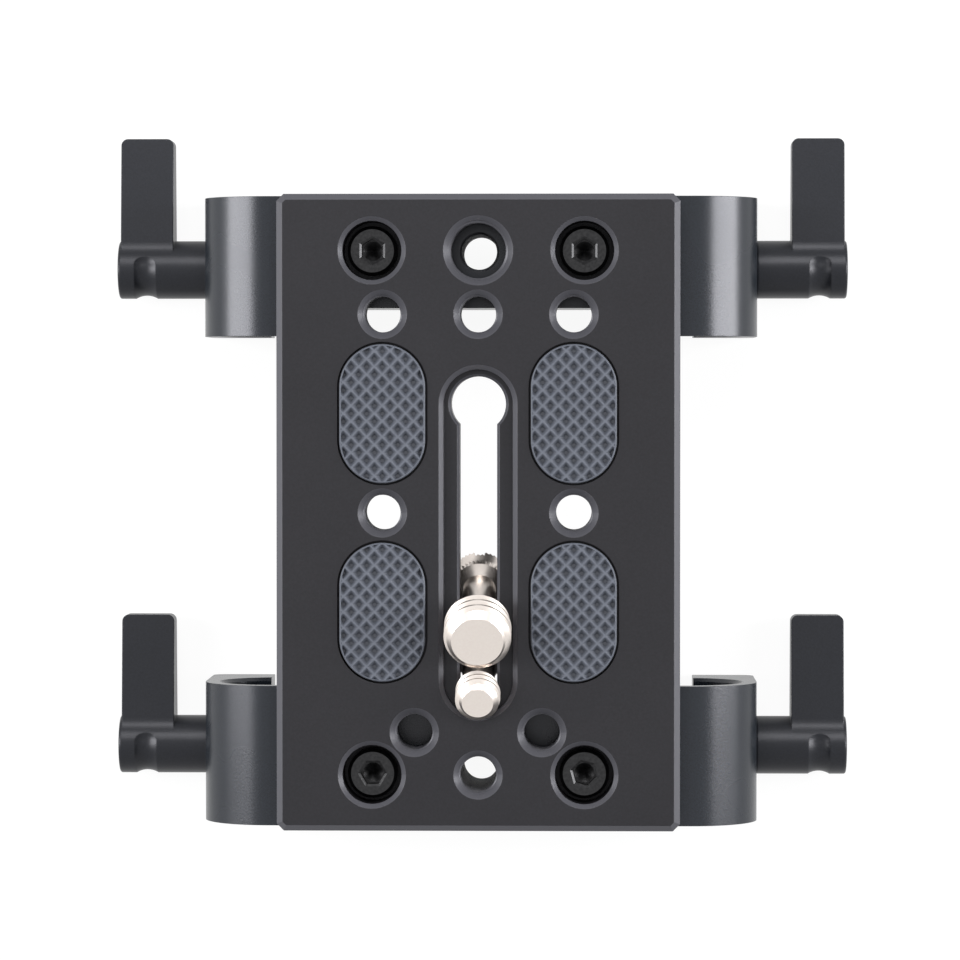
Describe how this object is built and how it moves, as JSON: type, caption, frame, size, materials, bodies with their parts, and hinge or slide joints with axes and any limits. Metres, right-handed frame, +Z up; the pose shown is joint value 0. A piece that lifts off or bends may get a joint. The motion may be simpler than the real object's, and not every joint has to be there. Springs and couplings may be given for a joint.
{
  "type": "camera baseplate",
  "caption": "Slotted camera plate with rubber pads on two split clamp blocks for 15 mm rods, with ratchet levers and captive camera screws.",
  "frame": {"origin": "bottom centre of the whole part's box, on the plane of the blocks' undersides", "axes": "+Z up out of the plate's top; +Y to the rear, the way the levers point at rest; +X to the right"},
  "size_m": [0.107, 0.0992, 0.0401],
  "materials": {
    "anodised_plate": "bead blasted and black anodised, with bright chamfers",
    "anodised_block": "black anodised, satin",
    "anodised_lever": "black anodised, satin",
    "black_steel": "black oxide",
    "bright_steel": "bright stainless, turned",
    "zinc_steel": "zinc plated, turned",
    "spring_steel": "drawn wire",
    "pad_rubber": "moulded rubber with a diamond net"
  },
  "bodies": {
    "baseplate": {"top_plate": "anodised_plate", "front_rod_block": "anodised_block", "rear_rod_block": "anodised_block", "plate_screws": "black_steel", "pad_front_left": "pad_rubber", "pad_front_right": "pad_rubber", "pad_rear_left": "pad_rubber", "pad_rear_right": "pad_rubber"},
    "large_camera_screw": {"camera_screw_large": "bright_steel"},
    "small_camera_screw": {"camera_screw_small": "bright_steel"},
    "clamp_front_left": {"clamp_screw_front_left": "zinc_steel", "lever_end_screw_front_left": "black_steel"},
    "handle_front_left": {"lever_front_left": "anodised_lever", "lever_spring_front_left": "spring_steel"},
    "clamp_front_right": {"clamp_screw_front_right": "zinc_steel", "lever_end_screw_front_right": "black_steel"},
    "handle_front_right": {"lever_front_right": "anodised_lever", "lever_spring_front_right": "spring_steel"},
    "clamp_rear_left": {"clamp_screw_rear_left": "zinc_steel", "lever_end_screw_rear_left": "black_steel"},
    "handle_rear_left": {"lever_rear_left": "anodised_lever", "lever_spring_rear_left": "spring_steel"},
    "clamp_rear_right": {"clamp_screw_rear_right": "zinc_steel", "lever_end_screw_rear_right": "black_steel"},
    "handle_rear_right": {"lever_rear_right": "anodised_lever", "lever_spring_rear_right": "spring_steel"}
  },
  "joints": [
    {"name": "large_screw_slide", "type": "slide", "parent": "baseplate", "child": "large_camera_screw", "axis": [0, 1, 0], "range_m": [0, 0.0282]},
    {"name": "small_screw_slide", "type": "slide", "parent": "baseplate", "child": "small_camera_screw", "axis": [0, 1, 0], "range_m": [0, 0.0007]},
    {"name": "lever_turn_front_left", "type": "hinge", "parent": "baseplate", "child": "clamp_front_left", "pos_m": [-0.04, -0.0396, 0.0045], "axis": [1, 0, 0], "range_deg": [0, 180]},
    {"name": "lever_pull_front_left", "type": "slide", "parent": "clamp_front_left", "child": "handle_front_left", "axis": [-1, 0, 0], "range_m": [0, 0.003], "stiffness_N_per_m": 700, "springref_m": -0.003, "deforming": ["lever_spring_front_left"]},
    {"name": "lever_turn_front_right", "type": "hinge", "parent": "baseplate", "child": "clamp_front_right", "pos_m": [0.04, -0.0396, 0.0045], "axis": [1, 0, 0], "range_deg": [0, 180]},
    {"name": "lever_pull_front_right", "type": "slide", "parent": "clamp_front_right", "child": "handle_front_right", "axis": [1, 0, 0], "range_m": [0, 0.003], "stiffness_N_per_m": 700, "springref_m": -0.003, "deforming": ["lever_spring_front_right"]},
    {"name": "lever_turn_rear_left", "type": "hinge", "parent": "baseplate", "child": "clamp_rear_left", "pos_m": [-0.04, 0.0304, 0.0045], "axis": [1, 0, 0], "range_deg": [0, 180]},
    {"name": "lever_pull_rear_left", "type": "slide", "parent": "clamp_rear_left", "child": "handle_rear_left", "axis": [-1, 0, 0], "range_m": [0, 0.003], "stiffness_N_per_m": 700, "springref_m": -0.003, "deforming": ["lever_spring_rear_left"]},
    {"name": "lever_turn_rear_right", "type": "hinge", "parent": "baseplate", "child": "clamp_rear_right", "pos_m": [0.04, 0.0304, 0.0045], "axis": [1, 0, 0], "range_deg": [0, 180]},
    {"name": "lever_pull_rear_right", "type": "slide", "parent": "clamp_rear_right", "child": "handle_rear_right", "axis": [1, 0, 0], "range_m": [0, 0.003], "stiffness_N_per_m": 700, "springref_m": -0.003, "deforming": ["lever_spring_rear_right"]}
  ]
}
